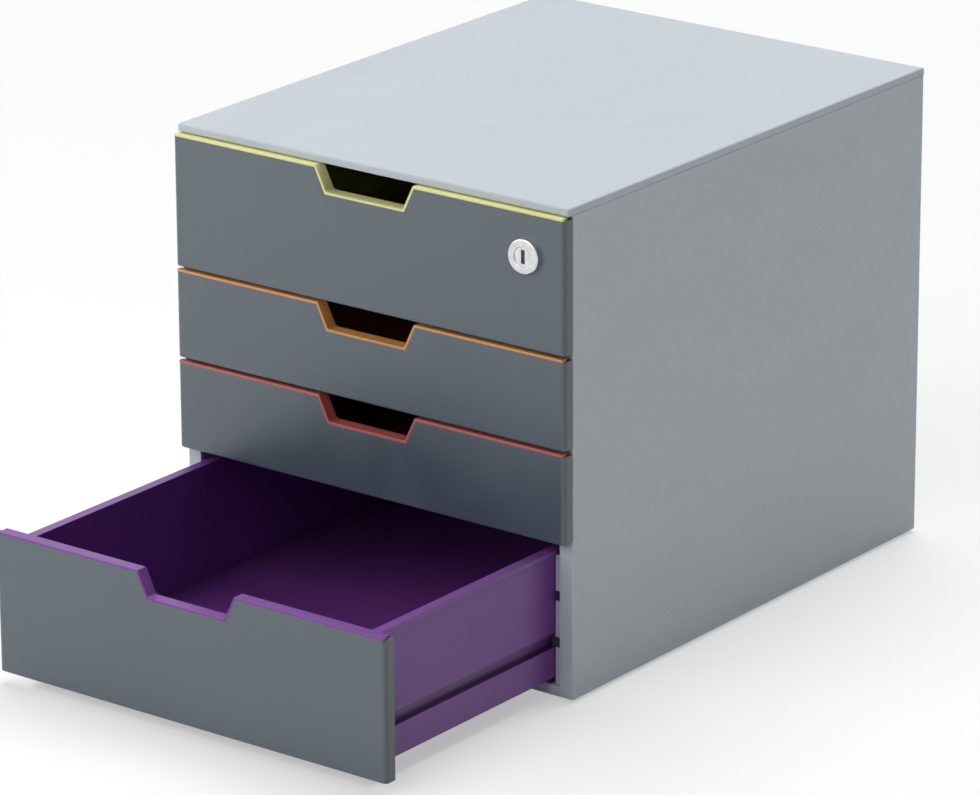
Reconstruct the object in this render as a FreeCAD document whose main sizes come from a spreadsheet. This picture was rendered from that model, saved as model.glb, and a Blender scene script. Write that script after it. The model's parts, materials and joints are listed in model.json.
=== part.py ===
import FreeCAD
import Part
import Sketcher
import os

# Desktop file drawer: a plastic cabinet for A4 papers with four drawers on slotted runner
# panels. The lowest drawer stands open, the others are closed, and the top one has a cam lock.
# All lengths are millimetres. X runs across the cabinet, Y from the drawer fronts to the back,
# Z up. Sketches and sizes are written from the closed fronts' front plane (Y = 0) and the
# surface the cabinet stands on (Z = 0); every piece's Placement then moves it so that the
# document's origin is the bottom centre of the whole object with its lowest drawer open.

# One row per size that can be set by itself: alias, value, what it is.
DRIVING_SIZES = [
    ("casing_width", 280, "across the side panels"),
    ("casing_depth", 356, "closed fronts to the rear edges of the side panels"),
    ("foot_height", 2, "rubber foot below the base panel"),
    ("foot_diameter", 16, "rubber foot"),
    ("foot_recess", 1.5, "depth that a foot is let into the base panel"),
    ("foot_inset", 24, "foot axis from the side and the rear edge"),
    ("foot_round", 0.6, "rounding of a foot's lower edge"),
    ("top_thickness", 4.5, "top panel"),
    ("top_setback", 4, "top panel's front edge behind the closed fronts"),
    ("top_round", 1.2, "rounding of the top panel's edges"),
    ("top_lower_round", 0.4, "rounding of the top panel's lower front edge"),
    ("base_thickness", 6.2, "base panel with its ribs"),
    ("base_skin", 3, "base panel between its ribs"),
    ("base_rib", 12, "width of the base panel's ribs and border"),
    ("side_thickness", 4, "side panel"),
    ("side_lip_width", 9.2, "front lip of a side panel, across"),
    ("side_lip_depth", 2.5, "front lip of a side panel, front to back"),
    ("side_round", 0.8, "rounding of the side panels' upright outer edges"),
    ("side_cavity", 3.7, "air gap between side panel and runner panel"),
    ("back_thickness", 2.5, "back panel"),
    ("back_setback", 0.5, "back panel inside the side panels' rear edges"),
    ("runner_thickness", 6.2, "runner panel"),
    ("slot_height", 6.2, "runner slot"),
    ("slot_depth", 5, "runner slot"),
    ("slot_rise", 17.05, "slot's lower face above its level line"),
    ("level_pitch", 27.75, "height of one level"),
    ("first_level_rise", 5.05, "lowest level line above the base panel"),
    ("top_rise", 1.25, "top of the casing above the highest level line"),
    ("levels_drawer_one", 3, "levels taken by the top drawer"),
    ("levels_drawer_two", 2, "levels taken by the second drawer"),
    ("levels_drawer_three", 2, "levels taken by the third drawer"),
    ("levels_drawer_four", 3, "levels taken by the lowest drawer"),
    ("front_gap", 1.8, "gap between one front and the next"),
    ("lowest_front_gap", 4.6, "gap above the lowest front"),
    ("top_gap", 0.5, "gap between the top front and the top panel"),
    ("front_clearance", 0.3, "gap between a closed front and the casing"),
    ("bottom_drop", 5.95, "lowest front reaches this far below its level line"),
    ("front_depth", 7.7, "drawer front, front to back"),
    ("panel_thickness", 3.5, "face of the front panel"),
    ("panel_return", 2.4, "side returns of the front panel"),
    ("panel_lower_return", 1, "lower return of the front panel"),
    ("panel_round", 3, "rounding of the front panel's upright edges"),
    ("panel_edge_round", 0.9, "rounding of the front panel's lower edge"),
    ("nest_clearance", 0.15, "gap between a tray's front wall and the panel's returns"),
    ("rim_thickness", 1.4, "coloured rim over the front panel's upper edge"),
    ("rim_inset", 1.3, "ends of the rim inside the ends of the front panel"),
    ("rim_round", 0.5, "rounding of the rim's upper edges"),
    ("rim_side_room", 0.9, "widening of the panel's notch for the rim on its slanted sides"),
    ("notch_top_width", 69.4, "finger notch at its mouth"),
    ("notch_bottom_width", 55, "finger notch at its floor"),
    ("notch_depth", 14.8, "finger notch"),
    ("notch_round", 2.5, "rounding of the finger notch's corners"),
    ("tray_clearance", 0.5, "gap between tray and runner panel"),
    ("tray_rear_gap", 8.3, "gap between a closed tray and the back panel"),
    ("tray_drop", 1.35, "underside of a tray below its level line"),
    ("rim_above_slot", 3.2, "rim of a tray above the lower face of the highest slot beside it"),
    ("tray_wall", 4.8, "side walls of a tray"),
    ("tray_end_wall", 2.6, "rear wall of a tray"),
    ("tray_floor", 3.4, "floor of a tray"),
    ("tray_corner", 8, "upright inner corners of a tray"),
    ("tray_fillet", 4, "fillet between floor and walls of a tray"),
    ("tray_lip", 1.4, "outward lip along a tray's rim"),
    ("groove_depth", 3.7, "runner groove in a tray's side"),
    ("groove_height", 8.5, "runner groove in a tray's side"),
    ("guide_length", 44, "front guide"),
    ("guide_reach", 3.3, "front guide's head beyond the face of the runner panel"),
    ("running_clearance", 0.3, "front guide in the groove, rear glide and rim lip in the slots"),
    ("glide_length", 80, "rear glide of a drawer"),
    ("glide_gap", 0.5, "rear glide from the floor of the slot"),
    ("pull_out_length", 161, "lowest drawer pulled out"),
    ("lock_inset", 26.5, "lock axis from the right end of its front"),
    ("lock_drop", 25.6, "lock axis below the top of its front"),
    ("lock_barrel", 15, "lock housing"),
    ("lock_hole_clearance", 0.2, "lock housing in its hole, on the diameter"),
    ("lock_flange", 20.6, "lock housing's face ring"),
    ("lock_flange_height", 3.2, "lock housing's face ring"),
    ("lock_flange_round", 0.9, "rounding of the face ring"),
    ("lock_length", 22, "lock housing behind the front plane"),
    ("plug_diameter", 11.8, "lock plug"),
    ("plug_clearance", 0.16, "lock plug in its bore, on the diameter"),
    ("plug_setback", 0.5, "plug's face behind the face ring"),
    ("keyway_width", 2.6, "key slot"),
    ("keyway_height", 8, "key slot"),
    ("keyway_depth", 7, "key slot"),
    ("nut_flats", 20, "lock nut across flats"),
    ("nut_thickness", 4, "lock nut"),
    ("lock_bay_half_width", 14, "room round the lock in the tray, beside and below its axis"),
    ("lock_bay_wall", 1.3, "tray's side wall left beside the lock"),
    ("lock_bay_depth", 22, "room round the lock behind the front"),
    ("cam_length", 19, "lock cam from the lock axis to its tip"),
    ("cam_width", 11, "lock cam"),
    ("cam_thickness", 2.2, "lock cam"),
    ("cam_clearance", 0.2, "gap between lock housing and cam"),
    ("cam_screw_head", 8, "cam screw's head"),
    ("cam_screw_head_height", 2.4, "cam screw's head"),
    ("cam_screw_shank", 4, "cam screw's shank"),
    ("cam_screw_length", 8, "cam screw's shank"),
    ("strike_width", 12, "lock strike"),
    ("strike_thickness", 2.5, "lock strike"),
    ("strike_drop", 12.3, "lock strike below the top panel"),
    ("strike_length", 22, "lock strike's foot, front to back"),
    ("strike_clearance", 0.7, "gap between strike and cam"),
    ("strike_screw_shank", 2.9, "strike screw"),
    ("strike_screw_head", 6, "strike screw's head"),
    ("strike_screw_head_height", 1.8, "strike screw's head"),
    ("strike_screw_bite", 2.5, "strike screw's reach into the top panel"),
    ("strike_screw_spacing", 9, "between the two strike screws"),
]

LEVELS = {
    1: "sizes.levels_drawer_one",
    2: "sizes.levels_drawer_two",
    3: "sizes.levels_drawer_three",
    4: "sizes.levels_drawer_four",
}
LOCKED_DRAWER = 1
OPEN_DRAWER = 4

# Planes and places that several pieces share, as formulas of the sheet's sizes.
HALF_WIDTH = "sizes.casing_width / 2"
CASING_FRONT = "(sizes.front_depth + sizes.front_clearance)"
LIP_BACK = f"({CASING_FRONT} + sizes.side_lip_depth)"
BACK_FRONT = "(sizes.casing_depth - sizes.back_setback - sizes.back_thickness)"
SIDE_INNER = f"({HALF_WIDTH} - sizes.side_thickness)"
LIP_INNER = f"({HALF_WIDTH} - sizes.side_lip_width)"
RUNNER_OUTER = f"({SIDE_INNER} - sizes.side_cavity)"
RUNNER_INNER = f"({RUNNER_OUTER} - sizes.runner_thickness)"
SLOT_FLOOR = f"({RUNNER_INNER} + sizes.slot_depth)"
BASE_TOP = "(sizes.foot_height + sizes.base_thickness)"
FIRST_LEVEL = f"({BASE_TOP} + sizes.first_level_rise)"
LEVEL_COUNT = "(" + " + ".join(LEVELS.values()) + ")"
CASING_TOP = f"({FIRST_LEVEL} + {LEVEL_COUNT} * sizes.level_pitch + sizes.top_rise)"
TOP_UNDERSIDE = f"({CASING_TOP} - sizes.top_thickness)"
TRAY_OUTER = f"({RUNNER_INNER} - sizes.tray_clearance)"
TRAY_INNER = f"({TRAY_OUTER} - sizes.tray_wall)"
GROOVE_FLOOR = f"({TRAY_OUTER} - sizes.groove_depth)"
TRAY_BACK = f"({BACK_FRONT} - sizes.tray_rear_gap)"
LOCK_ACROSS = f"({HALF_WIDTH} - sizes.lock_inset)"
CAM_FRONT = "sizes.lock_length"
ORIGIN_SHIFT = "(sizes.casing_depth - sizes.pull_out_length) / 2"
SAME_PLACE = 1e-3


def make_sheet(doc):
    """The spreadsheet that holds the driving sizes."""
    sheet = doc.addObject("Spreadsheet::Sheet", "sizes")
    for row, (alias, size, note) in enumerate(DRIVING_SIZES, start=1):
        sheet.set(f"A{row}", alias)
        sheet.set(f"B{row}", str(size))
        sheet.set(f"C{row}", note)
        sheet.setAlias(f"B{row}", alias)
    doc.recompute()
    return sheet


def value(doc, formula):
    """A formula's present value as a number."""
    return float(doc.getObject("sizes").evalExpression(str(formula)))


def place(piece, back="0", right="0", up="0"):
    """Move a finished piece from the drawing's origin to the document's origin."""
    piece.setExpression("Placement.Base.x", str(right))
    piece.setExpression("Placement.Base.y", f"{back} - {ORIGIN_SHIFT}")
    piece.setExpression("Placement.Base.z", str(up))


def drawer_shift(number):
    """How far back a drawer stands: the open one stands forward."""
    if number == OPEN_DRAWER:
        return "-sizes.pull_out_length"
    return "0"


# ---- sketch, pad and pocket helpers -------------------------------------------------------


def new_body(doc, label):
    body = doc.addObject("PartDesign::Body", label)
    body.Label = label
    return body


def origin_feature(body, role):
    return next(item for item in body.Origin.OriginFeatures if item.Role == role)


def fix_corner(sketch, line, corner, numbers):
    """Tie the start of a line to the sketch's origin by two formulas."""
    for kind, formula, number in zip(("DistanceX", "DistanceY"), corner, numbers):
        if number < 0:
            constraint = Sketcher.Constraint(kind, line, 1, -1, 1, -number)
            formula = f"-({formula})"
        else:
            constraint = Sketcher.Constraint(kind, -1, 1, line, 1, number)
        index = sketch.addConstraint(constraint)
        sketch.setExpression(f"Constraints[{index}]", str(formula))


def outline(body, name, plane, corners, start):
    """A closed straight-sided outline, each corner a pair of formulas, on a plane at start."""
    doc = body.Document
    sketch = body.newObject("Sketcher::SketchObject", name)
    sketch.AttachmentSupport = [(origin_feature(body, plane), "")]
    sketch.MapMode = "FlatFace"
    sign = "-" if plane == "XZ_Plane" else ""
    sketch.setExpression("AttachmentOffset.Base.z", f"{sign}({start})")
    points = [tuple(value(doc, formula) for formula in corner) for corner in corners]
    for here, there in zip(points, points[1:] + points[:1]):
        sketch.addGeometry(Part.LineSegment(FreeCAD.Vector(*here), FreeCAD.Vector(*there)))
    for line in range(len(points)):
        following = (line + 1) % len(points)
        sketch.addConstraint(Sketcher.Constraint("Coincident", line, 2, following, 1))
    for line, (corner, numbers) in enumerate(zip(corners, points)):
        fix_corner(sketch, line, corner, numbers)
    return sketch


def box_corners(low_a, high_a, low_b, high_b):
    """The four corners of a rectangle in a sketch."""
    return [(low_a, low_b), (high_a, low_b), (high_a, high_b), (low_a, high_b)]


def pad(body, name, plane, corners, start, length):
    """Add an extrusion of an outline, from start towards the plane's positive axis."""
    feature = body.newObject("PartDesign::Pad", name)
    feature.Profile = outline(body, f"{name}_sketch", plane, corners, start)
    feature.setExpression("Length", str(length))
    feature.Reversed = plane == "XZ_Plane"
    body.Document.recompute()
    return feature


def pocket(body, name, plane, corners, start, length):
    """Cut an extrusion of an outline, from start towards the plane's positive axis."""
    before = body.Shape.Volume
    feature = body.newObject("PartDesign::Pocket", name)
    feature.Profile = outline(body, f"{name}_sketch", plane, corners, start)
    feature.setExpression("Length", str(length))
    feature.Reversed = plane != "XZ_Plane"
    body.Document.recompute()
    if body.Shape.Volume >= before:
        raise RuntimeError(f"{name} cuts nothing")
    return feature


def round_hole(body, name, plane, centre, diameter, start, length):
    """Cut a round hole, its centre a pair of formulas in the plane."""
    doc = body.Document
    sketch = body.newObject("Sketcher::SketchObject", f"{name}_sketch")
    sketch.AttachmentSupport = [(origin_feature(body, plane), "")]
    sketch.MapMode = "FlatFace"
    sign = "-" if plane == "XZ_Plane" else ""
    sketch.setExpression("AttachmentOffset.Base.z", f"{sign}({start})")
    numbers = [value(doc, formula) for formula in centre]
    radius = value(doc, diameter) / 2
    sketch.addGeometry(Part.Circle(FreeCAD.Vector(*numbers), FreeCAD.Vector(0, 0, 1), radius))
    for kind, formula, number in zip(("DistanceX", "DistanceY"), centre, numbers):
        if number < 0:
            constraint = Sketcher.Constraint(kind, 0, 3, -1, 1, -number)
            formula = f"-({formula})"
        else:
            constraint = Sketcher.Constraint(kind, -1, 1, 0, 3, number)
        index = sketch.addConstraint(constraint)
        sketch.setExpression(f"Constraints[{index}]", str(formula))
    index = sketch.addConstraint(Sketcher.Constraint("Diameter", 0, 2 * radius))
    sketch.setExpression(f"Constraints[{index}]", str(diameter))
    before = body.Shape.Volume
    feature = body.newObject("PartDesign::Pocket", name)
    feature.Profile = sketch
    feature.setExpression("Length", str(length))
    feature.Reversed = plane != "XZ_Plane"
    doc.recompute()
    if body.Shape.Volume >= before:
        raise RuntimeError(f"{name} cuts nothing")
    return feature


def along(edge, axis):
    """Whether a straight edge runs along an axis: 0 for X, 1 for Y, 2 for Z."""
    first = edge.Vertexes[0].Point
    last = edge.Vertexes[-1].Point
    gap = [abs(first[i] - last[i]) for i in range(3)]
    return gap[axis] > SAME_PLACE and max(gap[i] for i in range(3) if i != axis) < SAME_PLACE


def near(edge, axis, place_on_axis):
    """Whether an edge's middle lies at a place along an axis."""
    return abs(edge.CenterOfMass[axis] - place_on_axis) < SAME_PLACE


def round_edges(body, name, radius, wanted):
    """Fillet the edges of the body so far that the function wanted picks."""
    base = body.Tip
    names = [f"Edge{i}" for i, edge in enumerate(base.Shape.Edges, start=1) if wanted(edge)]
    if not names:
        raise RuntimeError(f"{name} found no edge")
    feature = body.newObject("PartDesign::Fillet", name)
    feature.Base = (base, names)
    feature.setExpression("Radius", str(radius))
    body.Document.recompute()
    return feature


# ---- heights of the drawers ---------------------------------------------------------------


def level_below(number):
    """The level line under a drawer: the lowest line plus the levels of the drawers below."""
    lower = [LEVELS[other] for other in LEVELS if other > number]
    if not lower:
        return FIRST_LEVEL
    return f"({FIRST_LEVEL} + ({' + '.join(lower)}) * sizes.level_pitch)"


def level_above(number):
    return f"({level_below(number)} + {LEVELS[number]} * sizes.level_pitch)"


def front_bottom(number):
    if number == max(LEVELS):
        return f"({level_below(number)} - sizes.bottom_drop)"
    return level_below(number)


def front_top(number):
    if number == min(LEVELS):
        return f"({TOP_UNDERSIDE} - sizes.top_gap)"
    if number == max(LEVELS):
        return f"({level_above(number)} - sizes.lowest_front_gap)"
    return f"({level_above(number)} - sizes.front_gap)"


def slot_bottom(number):
    return f"({level_below(number)} + sizes.slot_rise)"


def groove_span(number):
    """The lower and the upper face of the runner groove in a tray's side."""
    low = f"({slot_bottom(number)} - sizes.running_clearance)"
    return low, f"({low} + sizes.groove_height)"


def tray_lip_span(number):
    """The under and upper face of a tray's rim lip, which runs in the highest slot beside it."""
    highest_slot_bottom = f"{level_above(number)} - sizes.level_pitch + sizes.slot_rise"
    under = f"({highest_slot_bottom} + sizes.running_clearance)"
    return under, f"({highest_slot_bottom} + sizes.rim_above_slot)"


LOCK_HEIGHT = f"({front_top(LOCKED_DRAWER)} - sizes.lock_drop)"


def notch_line(top, notch_floor, room="0"):
    """The corners of the finger notch from right to left, each side wider by some room."""
    mouth = f"(sizes.notch_top_width / 2 + {room})"
    floor = f"(sizes.notch_bottom_width / 2 + {room})"
    return [(mouth, top), (floor, notch_floor), (f"-{floor}", notch_floor), (f"-{mouth}", top)]


def notched_outline(half_width, bottom, top, notch):
    """A front seen from the front: a rectangle with the finger notch in its upper edge."""
    lower = [(f"-{half_width}", bottom), (half_width, bottom), (half_width, top)]
    return lower + notch + [(f"-{half_width}", top)]


# ---- cabinet ------------------------------------------------------------------------------


def build_top_panel(doc):
    body = new_body(doc, "top_panel")
    corners = box_corners(f"-{HALF_WIDTH}", HALF_WIDTH, "sizes.top_setback", "sizes.casing_depth")
    pad(body, "top_plate", "XY_Plane", corners, TOP_UNDERSIDE, "sizes.top_thickness")
    for side, name in ((-1, "front_screw_hole"), (1, "rear_screw_hole")):
        centre = (LOCK_ACROSS, strike_screw_place(side))
        round_hole(
            body, name, "XY_Plane", centre, "sizes.strike_screw_shank", TOP_UNDERSIDE,
            "sizes.strike_screw_bite",
        )
    front = value(doc, "sizes.top_setback")
    upper = value(doc, CASING_TOP)
    edge = value(doc, HALF_WIDTH)

    def front_corner(line):
        at_end = abs(abs(line.CenterOfMass.x) - edge) < SAME_PLACE
        return along(line, 2) and near(line, 1, front) and at_end

    def upper_edge(line):
        return near(line, 2, upper) and len(line.Vertexes) == 2

    def lower_front_edge(line):
        return near(line, 1, front) and along(line, 0)

    round_edges(body, "top_front_corners", "sizes.top_round * 1.5", front_corner)
    round_edges(body, "top_upper_edges", "sizes.top_round", upper_edge)
    round_edges(body, "top_front_lower_edge", "sizes.top_lower_round", lower_front_edge)
    place(body)
    return [body]


def build_base_panel(doc):
    body = new_body(doc, "base_panel")
    corners = [
        (f"-{LIP_INNER}", CASING_FRONT),
        (LIP_INNER, CASING_FRONT),
        (LIP_INNER, LIP_BACK),
        (SIDE_INNER, LIP_BACK),
        (SIDE_INNER, BACK_FRONT),
        (f"-{SIDE_INNER}", BACK_FRONT),
        (f"-{SIDE_INNER}", LIP_BACK),
        (f"-{LIP_INNER}", LIP_BACK),
    ]
    pad(body, "base_plate", "XY_Plane", corners, "sizes.foot_height", "sizes.base_thickness")
    hollow = "sizes.base_thickness - sizes.base_skin"
    border = "(2 * sizes.foot_inset)"
    middle = f"(({LIP_BACK} + {BACK_FRONT}) / 2)"
    bays = {
        "left_front_bay": (f"-{SIDE_INNER} + {border}", "-sizes.base_rib / 2"),
        "right_front_bay": ("sizes.base_rib / 2", f"{SIDE_INNER} - {border}"),
    }
    for name, (low, high) in bays.items():
        front_end = f"{LIP_BACK} + sizes.base_rib"
        rear_end = f"{BACK_FRONT} - sizes.base_rib"
        front_bay = box_corners(low, high, front_end, f"{middle} - sizes.base_rib / 2")
        rear_bay = box_corners(low, high, f"{middle} + sizes.base_rib / 2", rear_end)
        pocket(body, name, "XY_Plane", front_bay, "sizes.foot_height", hollow)
        rear_name = name.replace("front", "rear")
        pocket(body, rear_name, "XY_Plane", rear_bay, "sizes.foot_height", hollow)
    for name, centre in foot_centres().items():
        round_hole(
            body, f"{name}_recess", "XY_Plane", centre, "sizes.foot_diameter", "sizes.foot_height",
            "sizes.foot_recess",
        )
    place(body)
    return [body]


def foot_centres():
    """Where the four feet stand, by name."""
    sideways = f"({HALF_WIDTH} - sizes.foot_inset)"
    front = f"({CASING_FRONT} + sizes.foot_inset)"
    rear = "(sizes.casing_depth - sizes.foot_inset)"
    return {
        "foot_front_left": (f"-{sideways}", front),
        "foot_front_right": (sideways, front),
        "foot_rear_left": (f"-{sideways}", rear),
        "foot_rear_right": (sideways, rear),
    }


def build_feet(doc):
    feet = []
    for name, (right, back) in foot_centres().items():
        disc = doc.addObject("Part::Cylinder", f"{name}_disc")
        disc.setExpression("Radius", "sizes.foot_diameter / 2")
        disc.setExpression("Height", "sizes.foot_height + sizes.foot_recess")
        doc.recompute()
        foot = doc.addObject("Part::Fillet", name)
        foot.Base = disc
        radius = value(doc, "sizes.foot_round")
        lower = [i for i, edge in enumerate(disc.Shape.Edges, 1) if near(edge, 2, 0) and edge.Closed]
        foot.Edges = [(i, radius, radius) for i in lower]
        foot.Label = name
        place(foot, back, right)
        feet.append(foot)
    return feet


def build_side_panel(doc, label, side):
    """A side panel is an L in plan: a plate with a lip along its front edge."""
    body = new_body(doc, label)
    sign = "-" if side < 0 else ""
    corners = [
        (f"{sign}{HALF_WIDTH}", CASING_FRONT),
        (f"{sign}{HALF_WIDTH}", "sizes.casing_depth"),
        (f"{sign}{SIDE_INNER}", "sizes.casing_depth"),
        (f"{sign}{SIDE_INNER}", LIP_BACK),
        (f"{sign}{LIP_INNER}", LIP_BACK),
        (f"{sign}{LIP_INNER}", CASING_FRONT),
    ]
    height = f"{TOP_UNDERSIDE} - sizes.foot_height"
    pad(body, f"{label}_plate", "XY_Plane", corners, "sizes.foot_height", height)
    edge = value(doc, HALF_WIDTH)

    def outer_upright(line):
        return along(line, 2) and abs(abs(line.CenterOfMass.x) - edge) < SAME_PLACE

    round_edges(body, f"{label}_edges", "sizes.side_round", outer_upright)
    place(body)
    return [body]


def build_back_panel(doc):
    body = new_body(doc, "back_panel")
    corners = box_corners(f"-{SIDE_INNER}", SIDE_INNER, "sizes.foot_height", TOP_UNDERSIDE)
    pad(body, "back_plate", "XZ_Plane", corners, BACK_FRONT, "sizes.back_thickness")
    place(body)
    return [body]


def bar(doc, name, low_x, high_x, low_y, high_y, low_z, high_z):
    """A Part box between six formulas."""
    box = doc.addObject("Part::Box", name)
    box.setExpression("Length", f"{high_x} - ({low_x})")
    box.setExpression("Width", f"{high_y} - ({low_y})")
    box.setExpression("Height", f"{high_z} - ({low_z})")
    box.setExpression("Placement.Base.x", str(low_x))
    box.setExpression("Placement.Base.y", str(low_y))
    box.setExpression("Placement.Base.z", str(low_z))
    return box


def mirrored_span(low, high, side):
    """A span across, on the right side as given or mirrored to the left side."""
    if side < 0:
        return f"-{high}", f"-{low}"
    return low, high


def group(doc, label, members):
    """Several separate solids that share one node."""
    compound = doc.addObject("Part::Compound", label)
    compound.Links = members
    compound.Label = label
    return compound


def strip_span(doc, line):
    """The heights between which a runner panel's strip stands, counted from the lowest strip."""
    low = BASE_TOP
    high = TOP_UNDERSIDE
    if line > 0:
        low = f"({FIRST_LEVEL} + {line - 1} * sizes.level_pitch + sizes.slot_rise + sizes.slot_height)"
    if line < value(doc, LEVEL_COUNT):
        high = f"({FIRST_LEVEL} + {line} * sizes.level_pitch + sizes.slot_rise)"
    return low, high


def build_runner_panel(doc, label, side):
    """A runner panel: a back sheet and strips on it, with one slot for each level between them."""
    sheet_span = mirrored_span(SLOT_FLOOR, RUNNER_OUTER, side)
    layers = [bar(doc, f"{label}_sheet", *sheet_span, LIP_BACK, BACK_FRONT, BASE_TOP, TOP_UNDERSIDE)]
    strip_across = mirrored_span(RUNNER_INNER, SLOT_FLOOR, side)
    for line in range(int(value(doc, LEVEL_COUNT)) + 1):
        heights = strip_span(doc, line)
        layers.append(bar(doc, f"{label}_strip_{line}", *strip_across, LIP_BACK, BACK_FRONT, *heights))
    panel = group(doc, label, layers)
    place(panel)
    return [panel]


def combine(doc, kind, name, base, tool):
    """Two shapes fused or cut into one."""
    result = doc.addObject(f"Part::{kind}", name)
    result.Base = base
    result.Tool = tool
    return result


def build_front_guides(doc, label, side):
    """One guide for each drawer: a stem in the slot that the drawer uses, a head in its groove."""
    stem_across = mirrored_span(RUNNER_INNER, SLOT_FLOOR, side)
    head_across = mirrored_span(f"({RUNNER_INNER} - sizes.guide_reach)", RUNNER_INNER, side)
    back = f"({LIP_BACK} + sizes.guide_length)"
    guides = []
    for number in LEVELS:
        low = slot_bottom(number)
        stem_top = f"({low} + sizes.slot_height)"
        head_top = f"({groove_span(number)[1]} - sizes.running_clearance)"
        stem = bar(doc, f"{label}_{number}_stem", *stem_across, LIP_BACK, back, low, stem_top)
        head = bar(doc, f"{label}_{number}_head", *head_across, LIP_BACK, back, low, head_top)
        guides.append(combine(doc, "Fuse", f"{label}_{number}", stem, head))
    side_guides = group(doc, label, guides)
    place(side_guides)
    return [side_guides]


# ---- drawers ------------------------------------------------------------------------------


def build_front(doc, number):
    """The dark front panel: a face with returns at its sides and below, open at the top."""
    body = new_body(doc, f"drawer_{number}_front")
    bottom = front_bottom(number)
    top = f"({front_top(number)} - sizes.rim_thickness)"
    notch = notch_line(top, f"({top} - sizes.notch_depth)", "sizes.rim_side_room")
    corners = notched_outline(HALF_WIDTH, bottom, top, notch)
    pad(body, f"face_{number}", "XZ_Plane", corners, "0", "sizes.front_depth")
    inside = f"({HALF_WIDTH} - sizes.panel_return)"
    above = f"({top} + sizes.panel_return)"
    nest = box_corners(f"-{inside}", inside, f"{bottom} + sizes.panel_lower_return", above)
    depth = "sizes.front_depth - sizes.panel_thickness"
    pocket(body, f"nest_{number}", "XZ_Plane", nest, "sizes.panel_thickness", depth)
    if number == LOCKED_DRAWER:
        cut_lock_hole(body, "panel_lock_hole", "0", "sizes.panel_thickness")
    edge = value(doc, HALF_WIDTH)
    low = value(doc, bottom)

    def outer_upright(line):
        at_end = abs(abs(line.CenterOfMass.x) - edge) < SAME_PLACE
        return along(line, 2) and near(line, 1, 0) and at_end

    def lower_front(line):
        return near(line, 1, 0) and near(line, 2, low) and along(line, 0)

    round_edges(body, f"face_sides_{number}", "sizes.panel_round", outer_upright)
    round_edges(body, f"face_lower_{number}", "sizes.panel_edge_round", lower_front)
    place(body, drawer_shift(number))
    return [body]


def cut_lock_hole(body, name, start, length):
    diameter = "sizes.lock_barrel + sizes.lock_hole_clearance"
    round_hole(body, name, "XZ_Plane", (LOCK_ACROSS, LOCK_HEIGHT), diameter, start, length)


def add_tray_front(body, number):
    """The tray's front wall, which fills the front panel, and the rim that laps over it."""
    top = front_top(number)
    inside = f"({HALF_WIDTH} - sizes.panel_return - sizes.nest_clearance)"
    bottom = f"({front_bottom(number)} + sizes.panel_lower_return + sizes.nest_clearance)"
    notch_floor = f"({top} - sizes.notch_depth)"
    notch = notch_line(top, notch_floor)
    corners = notched_outline(inside, bottom, top, notch)
    wall = "sizes.front_depth - sizes.panel_thickness"
    pad(body, f"front_wall_{number}", "XZ_Plane", corners, "sizes.panel_thickness", wall)
    rim_end = f"({HALF_WIDTH} - sizes.rim_inset)"
    mouth = "sizes.notch_top_width / 2"
    under = f"({top} - sizes.rim_thickness)"
    panel_notch = notch_line(under, f"({under} - sizes.notch_depth)", "sizes.rim_side_room")
    strips = {
        "left_rim": box_corners(f"-{rim_end}", f"-{mouth}", under, top),
        "right_rim": box_corners(mouth, rim_end, under, top),
        "notch_rim": panel_notch + notch[::-1],
    }
    for name, corners in strips.items():
        pad(body, f"{name}_{number}", "XZ_Plane", corners, "0", "sizes.panel_thickness")


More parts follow.
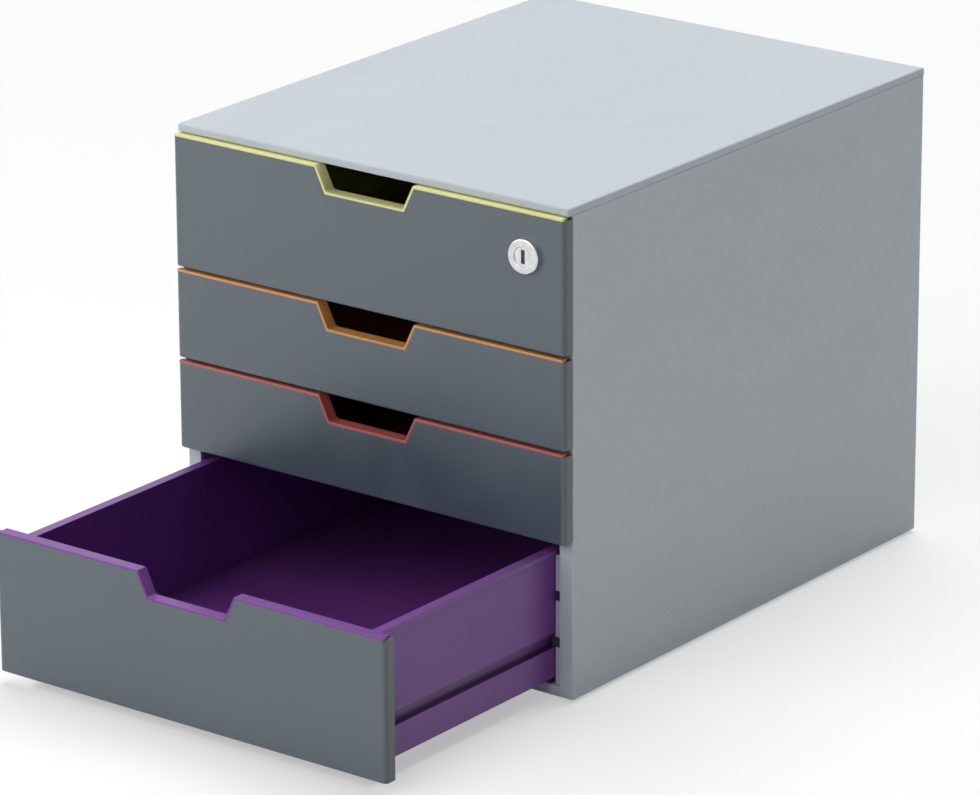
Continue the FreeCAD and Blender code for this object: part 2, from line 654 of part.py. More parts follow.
def build_tray(doc, number):
    """The coloured tray: front wall with its rim, and an open box behind it."""
    body = new_body(doc, f"drawer_{number}_tray")
    bottom = f"({level_below(number)} - sizes.tray_drop)"
    lip_under, rim = tray_lip_span(number)
    box = box_corners(f"-{TRAY_OUTER}", TRAY_OUTER, "sizes.front_depth", TRAY_BACK)
    pad(body, f"tray_block_{number}", "XY_Plane", box, bottom, f"{rim} - {bottom}")
    lip = f"({TRAY_OUTER} + sizes.tray_lip)"
    lips = box_corners(f"-{lip}", lip, "sizes.front_depth", TRAY_BACK)
    pad(body, f"tray_lip_{number}", "XY_Plane", lips, lip_under, f"{rim} - {lip_under}")
    add_tray_front(body, number)
    floor = f"({bottom} + sizes.tray_floor)"
    inside = box_corners(
        f"-{TRAY_INNER}", TRAY_INNER, "sizes.front_depth", f"{TRAY_BACK} - sizes.tray_end_wall"
    )
    pocket(body, f"tray_inside_{number}", "XY_Plane", inside, floor, f"{rim} - {floor} + 1")
    inner = value(doc, TRAY_INNER)
    floor_height = value(doc, floor)
    front = value(doc, "sizes.front_depth")
    back = value(doc, f"{TRAY_BACK} - sizes.tray_end_wall")

    def inner_upright(line):
        at_side = abs(abs(line.CenterOfMass.x) - inner) < SAME_PLACE
        return along(line, 2) and at_side and (near(line, 1, front) or near(line, 1, back))

    def floor_edge(line):
        return near(line, 2, floor_height) and line.BoundBox.YMin > front - SAME_PLACE

    round_edges(body, f"tray_corners_{number}", "sizes.tray_corner", inner_upright)
    round_edges(body, f"tray_floor_edge_{number}", "sizes.tray_fillet", floor_edge)
    for side, name in ((-1, "left_groove"), (1, "right_groove")):
        cut_groove(body, f"{name}_{number}", number, side)
    if number == LOCKED_DRAWER:
        wall = "sizes.front_depth - sizes.panel_thickness"
        cut_lock_hole(body, "tray_lock_hole", "sizes.panel_thickness", wall)
        cut_lock_bay(body, rim)
    top = value(doc, front_top(number))
    notch_floor = value(doc, f"{front_top(number)} - sizes.notch_depth")

    def notch_corner(line):
        return along(line, 1) and near(line, 2, notch_floor) and line.BoundBox.YMin < SAME_PLACE

    def rim_edge(line):
        return near(line, 2, top) and along(line, 0)

    round_edges(body, f"notch_corners_{number}", "sizes.notch_round", notch_corner)
    round_edges(body, f"rim_edges_{number}", "sizes.rim_round", rim_edge)
    place(body, drawer_shift(number))
    return [body]


def cut_lock_bay(body, rim):
    """Thin the tray's side wall and clear its corner beside the lock."""
    bay = box_corners(
        f"{LOCK_ACROSS} - sizes.lock_bay_half_width", f"{TRAY_OUTER} - sizes.lock_bay_wall",
        "sizes.front_depth", "sizes.front_depth + sizes.lock_bay_depth",
    )
    low = f"({LOCK_HEIGHT} - sizes.lock_bay_half_width)"
    pocket(body, "lock_bay", "XY_Plane", bay, low, f"{rim} - {low} + 1")


def cut_groove(body, name, number, side):
    """The runner groove along a tray's side."""
    sign = "-" if side < 0 else ""
    corners = box_corners(f"{sign}{GROOVE_FLOOR}", f"{sign}{TRAY_OUTER}", *groove_span(number))
    length = f"{TRAY_BACK} - sizes.front_depth"
    pocket(body, name, "XZ_Plane", corners, "sizes.front_depth", length)


def build_glides(doc, number):
    """Two glides at a tray's rear end: each fills the groove and runs in the slot."""
    label = f"drawer_{number}_glides"
    low = slot_bottom(number)
    front = f"({TRAY_BACK} - sizes.glide_length)"
    glides = []
    for side, name in ((-1, "left"), (1, "right")):
        seat_low, seat_high = mirrored_span(GROOVE_FLOOR, TRAY_OUTER, side)
        seat = bar(
            doc, f"{label}_{name}_seat", seat_low, seat_high, front, TRAY_BACK, *groove_span(number)
        )
        reach = f"({SLOT_FLOOR} - sizes.glide_gap)"
        shoe_low, shoe_high = mirrored_span(TRAY_OUTER, reach, side)
        shoe = bar(
            doc, f"{label}_{name}_shoe", shoe_low, shoe_high, front, TRAY_BACK,
            f"({low} + sizes.running_clearance)",
            f"({low} + sizes.slot_height - sizes.running_clearance)",
        )
        glides.append(combine(doc, "Fuse", f"{label}_{name}", seat, shoe))
    pair = group(doc, label, glides)
    place(pair, drawer_shift(number))
    return [pair]


# ---- lock ---------------------------------------------------------------------------------


def rod(doc, name, diameter, front, back):
    """A cylinder on the lock axis from front to back."""
    cylinder = doc.addObject("Part::Cylinder", name)
    cylinder.setExpression("Radius", f"({diameter}) / 2")
    cylinder.setExpression("Height", f"{back} - ({front})")
    cylinder.Placement.Rotation = FreeCAD.Rotation(FreeCAD.Vector(1, 0, 0), -90)
    cylinder.setExpression("Placement.Base.x", LOCK_ACROSS)
    cylinder.setExpression("Placement.Base.y", str(front))
    cylinder.setExpression("Placement.Base.z", LOCK_HEIGHT)
    return cylinder


def build_lock_housing(doc):
    """The lock's barrel with its face ring, bored for the plug."""
    ring = rod(doc, "lock_ring", "sizes.lock_flange", "-sizes.lock_flange_height", "0")
    doc.recompute()
    face = value(doc, "-sizes.lock_flange_height")
    radius = value(doc, "sizes.lock_flange_round")
    rounded = doc.addObject("Part::Fillet", "lock_ring_rounded")
    rounded.Base = ring
    edges = [i for i, edge in enumerate(ring.Shape.Edges, 1) if near(edge, 1, face) and edge.Closed]
    rounded.Edges = [(i, radius, radius) for i in edges]
    barrel_back = "(sizes.lock_length - sizes.cam_clearance)"
    barrel = rod(doc, "lock_barrel_rod", "sizes.lock_barrel", "0", barrel_back)
    whole = combine(doc, "Fuse", "lock_body", rounded, barrel)
    bore_size = "sizes.plug_diameter + sizes.plug_clearance"
    bore = rod(doc, "lock_bore", bore_size, "-sizes.lock_flange_height", "sizes.lock_length")
    housing = combine(doc, "Cut", "lock_housing", whole, bore)
    housing.Label = "lock_housing"
    place(housing)
    return [housing]


def build_lock_plug(doc):
    """The turning plug with its upright key slot and a tapped end for the cam screw."""
    face = "(-sizes.lock_flange_height + sizes.plug_setback)"
    plug = rod(doc, "plug_rod", "sizes.plug_diameter", face, CAM_FRONT)
    half_width = "sizes.keyway_width / 2"
    half_height = "sizes.keyway_height / 2"
    keyway = bar(
        doc, "keyway", f"({LOCK_ACROSS} - {half_width})", f"({LOCK_ACROSS} + {half_width})",
        face, f"({face} + sizes.keyway_depth)", f"({LOCK_HEIGHT} - {half_height})",
        f"({LOCK_HEIGHT} + {half_height})",
    )
    slotted = combine(doc, "Cut", "slotted_plug", plug, keyway)
    tapped_front = "(sizes.lock_length + sizes.cam_thickness - sizes.cam_screw_length)"
    tapping = rod(doc, "plug_tapping", "sizes.cam_screw_shank", tapped_front, CAM_FRONT)
    tapped = combine(doc, "Cut", "lock_plug", slotted, tapping)
    tapped.Label = "lock_plug"
    place(tapped)
    return [tapped]


def build_lock_nut(doc):
    """A hexagon nut behind the tray's front wall that clamps the lock in its hole."""
    across_corners = "(sizes.nut_flats / cos(30))"
    hexagon = doc.addObject("Part::Prism", "nut_hexagon")
    hexagon.Polygon = 6
    hexagon.setExpression("Circumradius", f"{across_corners} / 2")
    hexagon.setExpression("Height", "sizes.nut_thickness")
    lying = FreeCAD.Rotation(FreeCAD.Vector(1, 0, 0), -90)
    flats_to_the_sides = FreeCAD.Rotation(FreeCAD.Vector(0, 0, 1), 30)
    hexagon.Placement.Rotation = lying.multiply(flats_to_the_sides)
    hexagon.setExpression("Placement.Base.x", LOCK_ACROSS)
    hexagon.setExpression("Placement.Base.y", "sizes.front_depth")
    hexagon.setExpression("Placement.Base.z", LOCK_HEIGHT)
    back = "(sizes.front_depth + sizes.nut_thickness)"
    hole = rod(doc, "nut_hole", "sizes.lock_barrel", "sizes.front_depth", back)
    nut = combine(doc, "Cut", "lock_nut", hexagon, hole)
    nut.Label = "lock_nut"
    place(nut)
    return [nut]


def build_lock_cam(doc):
    """The flat cam on the plug's rear end; unlocked it points to the middle of the drawer."""
    body = new_body(doc, "lock_cam")
    half = "sizes.cam_width / 2"
    corners = box_corners(
        f"{LOCK_ACROSS} - sizes.cam_length", f"{LOCK_ACROSS} + {half}",
        f"{LOCK_HEIGHT} - {half}", f"{LOCK_HEIGHT} + {half}",
    )
    pad(body, "cam_plate", "XZ_Plane", corners, CAM_FRONT, "sizes.cam_thickness")
    round_hole(
        body, "cam_hole", "XZ_Plane", (LOCK_ACROSS, LOCK_HEIGHT), "sizes.cam_screw_shank",
        CAM_FRONT, "sizes.cam_thickness",
    )
    heel = value(doc, f"{LOCK_ACROSS} + {half}")

    def heel_corner(line):
        return along(line, 1) and near(line, 0, heel)

    round_edges(body, "cam_heel", "sizes.cam_width * 0.4", heel_corner)
    place(body)
    return [body]


def build_cam_screw(doc):
    """The screw that holds the cam on the plug."""
    cam_back = "(sizes.lock_length + sizes.cam_thickness)"
    head = rod(
        doc, "cam_screw_disc", "sizes.cam_screw_head", cam_back,
        f"({cam_back} + sizes.cam_screw_head_height)",
    )
    shank = rod(
        doc, "cam_screw_rod", "sizes.cam_screw_shank", f"({cam_back} - sizes.cam_screw_length)", cam_back
    )
    screw = combine(doc, "Fuse", "cam_screw", head, shank)
    screw.Label = "cam_screw"
    place(screw)
    return [screw]


STRIKE_BACK = f"({CAM_FRONT} - sizes.strike_clearance)"
STRIKE_FRONT = f"({STRIKE_BACK} - sizes.strike_thickness)"
STRIKE_FOOT_BACK = f"({STRIKE_FRONT} + sizes.strike_length)"


def strike_screw_place(side):
    """How far back the front (-1) or the rear (1) strike screw stands."""
    middle = f"(({STRIKE_BACK} + {STRIKE_FOOT_BACK}) / 2)"
    sign = "-" if side < 0 else "+"
    return f"({middle} {sign} sizes.strike_screw_spacing / 2)"


def build_lock_strike(doc):
    """An angle under the top panel; the turned-up cam catches behind its front leg."""
    body = new_body(doc, "lock_strike")
    half = "sizes.strike_width / 2"
    low = f"{LOCK_ACROSS} - {half}"
    high = f"{LOCK_ACROSS} + {half}"
    leg_low = f"({TOP_UNDERSIDE} - sizes.strike_drop)"
    leg = box_corners(low, high, STRIKE_FRONT, STRIKE_BACK)
    pad(body, "strike_leg", "XY_Plane", leg, leg_low, "sizes.strike_drop")
    foot = box_corners(low, high, STRIKE_FRONT, STRIKE_FOOT_BACK)
    foot_low = f"({TOP_UNDERSIDE} - sizes.strike_thickness)"
    pad(body, "strike_foot", "XY_Plane", foot, foot_low, "sizes.strike_thickness")
    for side, name in ((-1, "strike_front_hole"), (1, "strike_rear_hole")):
        centre = (LOCK_ACROSS, strike_screw_place(side))
        round_hole(
            body, name, "XY_Plane", centre, "sizes.strike_screw_shank", foot_low,
            "sizes.strike_thickness",
        )
    place(body)
    return [body]


def build_strike_screws(doc):
    """The two screws that hold the strike to the top panel."""
    foot_low = f"({TOP_UNDERSIDE} - sizes.strike_thickness)"
    screws = []
    for side, name in ((-1, "front"), (1, "rear")):
        parts = []
        lengths = {
            "head": ("sizes.strike_screw_head", f"({foot_low} - sizes.strike_screw_head_height)", foot_low),
            "shank": ("sizes.strike_screw_shank", foot_low, f"({TOP_UNDERSIDE} + sizes.strike_screw_bite)"),
        }
        for part_name, (diameter, low, high) in lengths.items():
            cylinder = doc.addObject("Part::Cylinder", f"{name}_strike_screw_{part_name}")
            cylinder.setExpression("Radius", f"{diameter} / 2")
            cylinder.setExpression("Height", f"{high} - {low}")
            cylinder.setExpression("Placement.Base.x", LOCK_ACROSS)
            cylinder.setExpression("Placement.Base.y", strike_screw_place(side))
            cylinder.setExpression("Placement.Base.z", low)
            parts.append(cylinder)
        screws.append(combine(doc, "Fuse", f"{name}_strike_screw", *parts))
    pair = group(doc, "strike_screws", screws)
    place(pair)
    return [pair]


# ---- whole object -------------------------------------------------------------------------


def build_cabinet(doc):
    pieces = build_top_panel(doc)
    pieces += build_base_panel(doc)
    pieces += build_feet(doc)
    pieces += build_back_panel(doc)
    for side, name in ((-1, "left"), (1, "right")):
        pieces += build_side_panel(doc, f"{name}_side_panel", side)
        pieces += build_runner_panel(doc, f"{name}_runner_panel", side)
        pieces += build_front_guides(doc, f"{name}_front_guides", side)
    return pieces


def build_drawers(doc):
    pieces = []
    for number in LEVELS:
        pieces += build_front(doc, number)
        pieces += build_tray(doc, number)
        pieces += build_glides(doc, number)
    return pieces


def build_lock(doc):
    pieces = build_lock_housing(doc)
    pieces += build_lock_plug(doc)
    pieces += build_lock_nut(doc)
    pieces += build_lock_cam(doc)
    pieces += build_cam_screw(doc)
    pieces += build_lock_strike(doc)
    pieces += build_strike_screws(doc)
    return pieces


def check(doc, pieces):
    """Stop if anything in the document failed or a piece isn't a sound solid."""
    for item in doc.Objects:
        if "Invalid" in item.State or "Error" in item.State:
            raise RuntimeError(f"{item.Label} failed: {item.State}")
    for piece in pieces:
        if piece.Shape.isNull() or not piece.Shape.isValid() or not piece.Shape.Solids:
            raise RuntimeError(f"{piece.Label} has no sound solid")


def export(pieces):
    os.makedirs("parts", exist_ok=True)
    for piece in pieces:
        piece.Shape.exportStep(f"parts/{piece.Label}.step")


def main():
    doc = FreeCAD.newDocument("file_drawer")
    make_sheet(doc)
    pieces = build_cabinet(doc) + build_drawers(doc) + build_lock(doc)
    doc.recompute()
    check(doc, pieces)
    export(pieces)


main()
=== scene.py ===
"""Looks of the desktop file drawer: procedural materials on the CAD nodes, floor, light, camera."""

import json
import math

import bpy
from mathutils import Matrix, Vector

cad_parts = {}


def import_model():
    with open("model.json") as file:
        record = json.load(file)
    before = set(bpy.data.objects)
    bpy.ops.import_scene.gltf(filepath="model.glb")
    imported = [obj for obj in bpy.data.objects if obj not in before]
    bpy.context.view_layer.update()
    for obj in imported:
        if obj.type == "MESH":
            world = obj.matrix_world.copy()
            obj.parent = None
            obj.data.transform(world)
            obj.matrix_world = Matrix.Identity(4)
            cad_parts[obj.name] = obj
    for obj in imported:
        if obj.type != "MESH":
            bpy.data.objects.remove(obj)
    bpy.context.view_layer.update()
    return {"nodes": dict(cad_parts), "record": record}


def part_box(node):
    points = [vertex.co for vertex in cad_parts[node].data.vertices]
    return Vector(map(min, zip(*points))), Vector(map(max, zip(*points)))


MM = 0.001

# Camera, fitted to the photograph: angles in degrees, lengths in metres.
IMAGE_WIDTH_PX = 980
SENSOR_WIDTH_MM = 36
CAMERA_AZIMUTH = 37.432
CAMERA_ELEVATION = 19.097
CAMERA_ROLL = -0.249
CAMERA_DISTANCE = 3.462127
CAMERA_REACH = 100
FOCAL_LENGTH_PX = 5867.314
CABINET_CENTRE = Vector((0, 0.0805, 0.146))
AIM_TO_THE_RIGHT = -0.038052
AIM_UPWARD = -0.037483

# Light, fitted to colours in the photograph. "toward" points to the lamp; spreads are in degrees,
# places and sizes in metres.
SKY_STRENGTH = 0.05
SKY_STRENGTH_SEEN = 1.0
KEY = {"toward": Vector((-0.12, 0.38, 0.92)), "strength": 2.3, "spread": 50}
FILL = {"toward": Vector((-0.08, -0.72, 0.69)), "strength": 1.15, "spread": 60}
SOFTBOX = {
    "place": Vector((-0.7, -0.8, 0.5)),
    "aim": Vector((0, 0, 0.2)),
    "size": 0.5,
    "watts": 2.5,
}

# Floor: grey level of the light that it throws back, and grey level and glow where it is seen.
FLOOR_HALF_SIZE = 9
FLOOR_BOUNCE = 0.82
FLOOR_SHADE = 0.53
FLOOR_GLOW = 0.44
FLOOR_ROUGHNESS = 0.9

# Base colours, linear.
WHITE = (1, 1, 1, 1)
CASING_GREY = (0.505, 0.55, 0.60)
# Guide colour, near-black: painted shade that makes the guides' ends in the slots as dark as the
# shadowed empty slots.
GUIDE_SLOT_SHADE_BLACK = (0.05, 0.052, 0.058)
ANTHRACITE = (0.058, 0.085, 0.107)
YELLOW = (0.80, 0.775, 0.34)
ORANGE = (0.70, 0.32, 0.10)
RED = (0.50, 0.12, 0.11)
PURPLE = (0.17, 0.045, 0.27)
GLIDE_WHITE = (0.60, 0.60, 0.57)
RUBBER_BLACK = (0.035, 0.035, 0.038)
CHROME = (0.66, 0.67, 0.68)
STEEL = (0.50, 0.50, 0.49)

# Spans of a pattern's own values that are mapped to tones.
NOISE_MIDDLE = (0.3, 0.7)
# X part of the normal over which right-facing sides take painted shade.
RIGHT_SHADE_SPAN = (0.3, 0.8)
RECESS_OPENNESS = (0.55, 0.95)
EDGE_SAMPLES = 6
RECESS_SAMPLES = 8

# Plastic: tones are factors of the base colour, and the gloss span is added to the roughness.
FLOW_MARK_MM = 46
FLOW_STRETCH = (1, 0.35, 1)
FLOW_TONE = (0.98, 1.02)
SPECKLE_MM = 1.6
SPECKLE_TONE = (0.97, 1.03)
# Painted shade in grooves and inner corners: how far the occlusion reaches and how dark the colour
# gets.
RECESS_REACH_MM = 9
RECESS_SHADE_TONE = 0.45
HANDLING_MARK_MM = 30
PLASTIC_GLOSS = (-0.05, 0.06)
WAVE_MM = 85
WAVE_DEPTH_MM = 0.08
PLASTIC_IOR = 1.48
TRAY_FINISH = {"roughness": 0.36, "grain_mm": 0.8, "grain_depth_mm": 0.02}

# Turned metal: the wave texture draws about three rings in one ring scale.
RING_SCALE_MM = 2.2
RING_DISTORTION = 0.4
RING_DEPTH_MM = 0.012
TURNED_WEAR_MM = 3.5
TURNED_TONE = (0.86, 1.06)
TURNED_GLOSS = (0.1, -0.05)
TURNED_EDGE_MM = 0.35

# Brushed metal.
BRUSH_MARK_MM = 0.5
BRUSH_STRETCH = (0.12, 1, 1)
BRUSH_DEPTH_MM = 0.02
BRUSHED_WEAR_MM = 6
BRUSHED_TONE = (0.85, 1.08)
BRUSHED_GLOSS = (-0.08, 0.12)
BRUSHED_EDGE_MM = 0.2


# ---- shader nodes -------------------------------------------------------------------------


def new_material(name):
    """A material with an empty Principled shader, and its node tree."""
    material = bpy.data.materials.new(name)
    material.use_nodes = True
    tree = material.node_tree
    tree.nodes.clear()
    output = tree.nodes.new("ShaderNodeOutputMaterial")
    shader = tree.nodes.new("ShaderNodeBsdfPrincipled")
    tree.links.new(shader.outputs["BSDF"], output.inputs["Surface"])
    return material, tree, shader


def noise(tree, size_mm, detail, stretch=(1, 1, 1)):
    """A noise pattern in the object's own space whose blotches are about size_mm across."""
    place = tree.nodes.new("ShaderNodeTexCoord")
    scale = tree.nodes.new("ShaderNodeMapping")
    scale.inputs["Scale"].default_value = [factor / (size_mm * MM) for factor in stretch]
    pattern = tree.nodes.new("ShaderNodeTexNoise")
    pattern.inputs["Scale"].default_value = 1.0
    pattern.inputs["Detail"].default_value = detail
    tree.links.new(place.outputs["Object"], scale.inputs["Vector"])
    tree.links.new(scale.outputs["Vector"], pattern.inputs["Vector"])
    return pattern.outputs["Fac"]


def remap(tree, number, source, target):
    """A number mapped from one span to another and held within it."""
    ramp = tree.nodes.new("ShaderNodeMapRange")
    ramp.inputs["From Min"].default_value = source[0]
    ramp.inputs["From Max"].default_value = source[1]
    ramp.inputs["To Min"].default_value = target[0]
    ramp.inputs["To Max"].default_value = target[1]
    tree.links.new(number, ramp.inputs["Value"])
    return ramp.outputs["Result"]


def spread(tree, pattern, span, base=0):
    """The middle of a noise pattern mapped to a span of values above a base."""
    return remap(tree, pattern, NOISE_MIDDLE, (base + span[0], base + span[1]))


def combined(tree, operation, first, second):
    """The result of an operation on two numbers."""
    result = tree.nodes.new("ShaderNodeMath")
    result.operation = operation
    tree.links.new(first, result.inputs[0])
    tree.links.new(second, result.inputs[1])
    return result.outputs["Value"]


def tinted(tree, colour, factor):
    """A colour times a factor that varies over the surface."""
    scale = tree.nodes.new("ShaderNodeVectorMath")
    scale.operation = "SCALE"
    scale.inputs[0].default_value = colour
    tree.links.new(factor, scale.inputs["Scale"])
    return scale.outputs["Vector"]


def bump(tree, height, depth_mm, normal):
    """The normal, bumped by a height pattern."""
    relief = tree.nodes.new("ShaderNodeBump")
    relief.inputs["Distance"].default_value = depth_mm * MM
    tree.links.new(height, relief.inputs["Height"])
    tree.links.new(normal, relief.inputs["Normal"])
    return relief.outputs["Normal"]


def rounded_edges(tree, radius_mm):
    """A normal that rounds off the edges of the mesh."""
    rounding = tree.nodes.new("ShaderNodeBevel")
    rounding.samples = EDGE_SAMPLES
    rounding.inputs["Radius"].default_value = radius_mm * MM
    return rounding.outputs["Normal"]


def painted_shade_facing_right(tree, low):
    """Painted shade: a number that falls from 1 to low as the surface turns to face right, and so
    darkens the colour of right-facing sides.
    """
    geometry = tree.nodes.new("ShaderNodeNewGeometry")
    split = tree.nodes.new("ShaderNodeSeparateXYZ")
    tree.links.new(geometry.outputs["Normal"], split.inputs["Vector"])
    return remap(tree, split.outputs["X"], RIGHT_SHADE_SPAN, (1.0, low))


def painted_shade_in_recesses(tree, reach_mm, low):
    """Painted shade: a number that falls from 1 to low in the piece's own grooves and inner
    corners, where it darkens the colour.
    """
    openness = tree.nodes.new("ShaderNodeAmbientOcclusion")
    openness.only_local = True
    openness.samples = RECESS_SAMPLES
    openness.inputs["Distance"].default_value = reach_mm * MM
    return remap(tree, openness.outputs["AO"], RECESS_OPENNESS, (low, 1.0))


def connect(tree, shader, colour, roughness, normal):
    """Give the shader a colour, a roughness and a normal that vary over the surface."""
    tree.links.new(colour, shader.inputs["Base Color"])
    tree.links.new(roughness, shader.inputs["Roughness"])
    tree.links.new(normal, shader.inputs["Normal"])


# ---- materials ----------------------------------------------------------------------------


def moulded_plastic(
    name, colour, roughness, grain_mm, grain_depth_mm, edge_mm=0.5, right_painted_shade=1.0, shine=0.5
):
    """Plastic with a fine grain, faint flow marks, slightly uneven gloss, painted shade in its
    recesses and, where asked, painted shade on right-facing sides.
    """
    material, tree, shader = new_material(name)
    flow = spread(tree, noise(tree, FLOW_MARK_MM, 4.0, FLOW_STRETCH), FLOW_TONE)
    speckle = spread(tree, noise(tree, SPECKLE_MM, 2.0), SPECKLE_TONE)
    tone = combined(tree, "MULTIPLY", flow, speckle)
    # Painted shade in grooves and inner corners, from ambient occlusion.
    recesses = painted_shade_in_recesses(tree, RECESS_REACH_MM, RECESS_SHADE_TONE)
    tone = combined(tree, "MULTIPLY", tone, recesses)
    # Painted shade: the colour darkens on sides that face right.
    if right_painted_shade < 1.0:
        tone = combined(tree, "MULTIPLY", tone, painted_shade_facing_right(tree, right_painted_shade))
    gloss = spread(tree, noise(tree, HANDLING_MARK_MM, 5.0), PLASTIC_GLOSS, roughness)
    edges = rounded_edges(tree, edge_mm)
    grain = bump(tree, noise(tree, grain_mm, 2.0), grain_depth_mm, edges)
    waviness = bump(tree, noise(tree, WAVE_MM, 1.0), WAVE_DEPTH_MM, grain)
    connect(tree, shader, tinted(tree, colour, tone), gloss, waviness)
    shader.inputs["IOR"].default_value = PLASTIC_IOR
    shader.inputs["Specular IOR Level"].default_value = shine
    return material


def rings_round_lock(tree):
    """Fine rings round the lock's axis, which goes through the middle of its housing."""
    low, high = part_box("lock_housing")
    centre = (Vector(low) + Vector(high)) / 2
    place = tree.nodes.new("ShaderNodeTexCoord")
    shift = tree.nodes.new("ShaderNodeMapping")
    shift.inputs["Location"].default_value = -centre
    rings = tree.nodes.new("ShaderNodeTexWave")
    rings.wave_type = "RINGS"
    rings.rings_direction = "Y"
    rings.inputs["Scale"].default_value = 1 / (RING_SCALE_MM * MM)
    rings.inputs["Distortion"].default_value = RING_DISTORTION
    tree.links.new(place.outputs["Object"], shift.inputs["Vector"])
    tree.links.new(shift.outputs["Vector"], rings.inputs["Vector"])
    return rings.outputs["Fac"]


def turned_metal(name, colour, roughness):
    """Plated metal with fine turned rings round the lock axis."""
    material, tree, shader = new_material(name)
    rings = rings_round_lock(tree)
    wear = noise(tree, TURNED_WEAR_MM, 5.0)
    tone = spread(tree, wear, TURNED_TONE)
    gloss = spread(tree, wear, TURNED_GLOSS, roughness)
    relief = bump(tree, rings, RING_DEPTH_MM, rounded_edges(tree, TURNED_EDGE_MM))
    connect(tree, shader, tinted(tree, colour, tone), gloss, relief)
    shader.inputs["Metallic"].default_value = 1.0
    return material


def brushed_metal(name, colour, roughness):
    """Zinc-plated steel with short brush marks."""
    material, tree, shader = new_material(name)
    marks = noise(tree, BRUSH_MARK_MM, 3.0, BRUSH_STRETCH)
    tone = spread(tree, noise(tree, BRUSHED_WEAR_MM, 4.0), BRUSHED_TONE)
    gloss = spread(tree, marks, BRUSHED_GLOSS, roughness)
    relief = bump(tree, marks, BRUSH_DEPTH_MM, rounded_edges(tree, BRUSHED_EDGE_MM))
    connect(tree, shader, tinted(tree, colour, tone), gloss, relief)
    shader.inputs["Metallic"].default_value = 1.0
    return material


def build_materials():
    """One material for each of the record's slots."""
    return {
        "casing": moulded_plastic(
            "casing", CASING_GREY, roughness=0.46, grain_mm=0.9, grain_depth_mm=0.05, edge_mm=0.6
        ),
        "guide_plastic": moulded_plastic(
            "guide_plastic", GUIDE_SLOT_SHADE_BLACK, roughness=0.4, grain_mm=0.6, grain_depth_mm=0.02
        ),
        "foot_rubber": moulded_plastic(
            "foot_rubber", RUBBER_BLACK, roughness=0.8, grain_mm=0.5, grain_depth_mm=0.06
        ),
        # The anthracite fronts get painted shade on their right-facing sides.
        "front_anthracite": moulded_plastic(
            "front_anthracite", ANTHRACITE, roughness=0.34, grain_mm=0.8, grain_depth_mm=0.04,
            right_painted_shade=0.4, shine=1.1,
        ),
        "tray_yellow": moulded_plastic("tray_yellow", YELLOW, **TRAY_FINISH),
        "tray_orange": moulded_plastic("tray_orange", ORANGE, **TRAY_FINISH),
        "tray_red": moulded_plastic("tray_red", RED, **TRAY_FINISH),
        "tray_purple": moulded_plastic("tray_purple", PURPLE, **TRAY_FINISH),
        "glide_plastic": moulded_plastic(
            "glide_plastic", GLIDE_WHITE, roughness=0.3, grain_mm=0.7, grain_depth_mm=0.01
        ),
        "lock_chrome": turned_metal("lock_chrome", CHROME, roughness=0.22),
        "lock_steel": brushed_metal("lock_steel", STEEL, roughness=0.35),
    }


def dress_nodes(frame):
    """Give every CAD node the material of its slot."""
    materials = build_materials()
    for entry in frame["record"]["subparts"]:
        mesh = frame["nodes"][entry["node"]].data
        mesh.materials.clear()
        mesh.materials.append(materials[entry["material_slot"]])


# ---- surroundings -------------------------------------------------------------------------


def seen_directly(tree):
    """1 for rays that show a surface: from the camera, in a mirror or through glass."""
    path = tree.nodes.new("ShaderNodeLightPath")
    total = path.outputs["Is Camera Ray"]
    for kind in ("Is Glossy Ray", "Is Transmission Ray"):
        total = combined(tree, "MAXIMUM", total, path.outputs[kind])
    return total


def floor_material():
    """Pale paper that glows a little where it is seen, and only there."""
    material, tree, shader = new_material("floor_paper")
    seen = seen_directly(tree)
    shade = remap(tree, seen, (0, 1), (FLOOR_BOUNCE, FLOOR_SHADE))
    glow = remap(tree, seen, (0, 1), (0, FLOOR_GLOW))
    tree.links.new(shade, shader.inputs["Base Color"])
    tree.links.new(glow, shader.inputs["Emission Strength"])
    shader.inputs["Emission Color"].default_value = WHITE
    shader.inputs["Roughness"].default_value = FLOOR_ROUGHNESS
    shader.inputs["Specular IOR Level"].default_value = 0.0
    return material


def build_floor():
    """A pale floor under the object that keeps its shadow."""
    half = FLOOR_HALF_SIZE
    mesh = bpy.data.meshes.new("floor")
    corners = [(-half, -half, 0), (half, -half, 0), (half, half, 0), (-half, half, 0)]
    mesh.from_pydata(corners, [], [(0, 1, 2, 3)])
    floor = bpy.data.objects.new("floor", mesh)
    bpy.context.scene.collection.objects.link(floor)
    mesh.materials.append(floor_material())


def build_sky():
    """An even soft sky that looks white where it is seen."""
    world = bpy.data.worlds.new("studio")
    bpy.context.scene.world = world
    world.use_nodes = True
    tree = world.node_tree
    tree.nodes.clear()
    output = tree.nodes.new("ShaderNodeOutputWorld")
    sky = tree.nodes.new("ShaderNodeBackground")
    sky.inputs["Color"].default_value = WHITE
    strength = remap(tree, seen_directly(tree), (0, 1), (SKY_STRENGTH, SKY_STRENGTH_SEEN))
    tree.links.new(strength, sky.inputs["Strength"])
    tree.links.new(sky.outputs["Background"], output.inputs["Surface"])


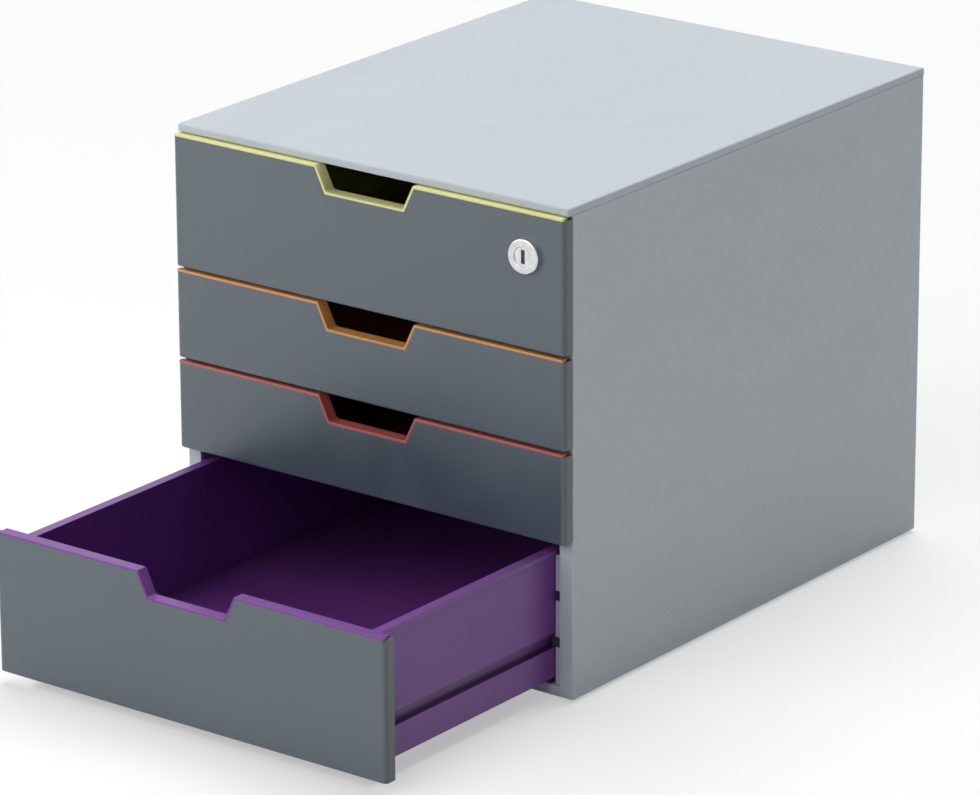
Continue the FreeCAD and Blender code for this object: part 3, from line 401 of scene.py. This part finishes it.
def place_lamp(name, kind, toward):
    """A lamp that shines from the given direction, and its data."""
    data = bpy.data.lights.new(name, kind)
    lamp = bpy.data.objects.new(name, data)
    lamp.rotation_euler = toward.to_track_quat("Z", "Y").to_euler()
    bpy.context.scene.collection.objects.link(lamp)
    return lamp, data


def build_distant_light(name, toward, strength, spread):
    """A soft light from far away; its spread is in degrees."""
    _, data = place_lamp(name, "SUN", toward)
    data.energy = strength
    data.angle = math.radians(spread)


def build_softbox(name, place, aim, size, watts):
    """A round softbox near the cabinet."""
    lamp, data = place_lamp(name, "AREA", place - aim)
    lamp.location = place
    data.shape = "DISK"
    data.size = size
    data.energy = watts


def build_lights():
    """A key light from above and behind, a fill light from the front, a softbox at the left."""
    build_distant_light("key", **KEY)
    build_distant_light("fill", **FILL)
    build_softbox("softbox", **SOFTBOX)


def build_camera():
    """A camera at the photograph's viewing angle."""
    azimuth = math.radians(CAMERA_AZIMUTH)
    elevation = math.radians(CAMERA_ELEVATION)
    toward_camera = Vector((
        math.sin(azimuth) * math.cos(elevation),
        -math.cos(azimuth) * math.cos(elevation),
        math.sin(elevation),
    ))
    right = Vector((0, 0, 1)).cross(toward_camera).normalized()
    up = toward_camera.cross(right)
    aim = CABINET_CENTRE + AIM_TO_THE_RIGHT * right + AIM_UPWARD * up
    roll = Matrix.Rotation(math.radians(CAMERA_ROLL), 3, toward_camera)
    right = roll @ right
    up = roll @ up
    data = bpy.data.cameras.new("camera")
    data.sensor_width = SENSOR_WIDTH_MM
    data.lens = FOCAL_LENGTH_PX / IMAGE_WIDTH_PX * SENSOR_WIDTH_MM
    data.clip_end = CAMERA_REACH
    camera = bpy.data.objects.new("camera", data)
    pose = Matrix((right, up, toward_camera)).transposed().to_4x4()
    pose.translation = aim + toward_camera * CAMERA_DISTANCE
    camera.matrix_world = pose
    bpy.context.scene.collection.objects.link(camera)
    bpy.context.scene.camera = camera


def main():
    """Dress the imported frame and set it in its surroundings."""
    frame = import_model()
    dress_nodes(frame)
    build_floor()
    build_sky()
    build_lights()
    build_camera()
    bpy.context.scene.view_settings.view_transform = "Standard"


main()
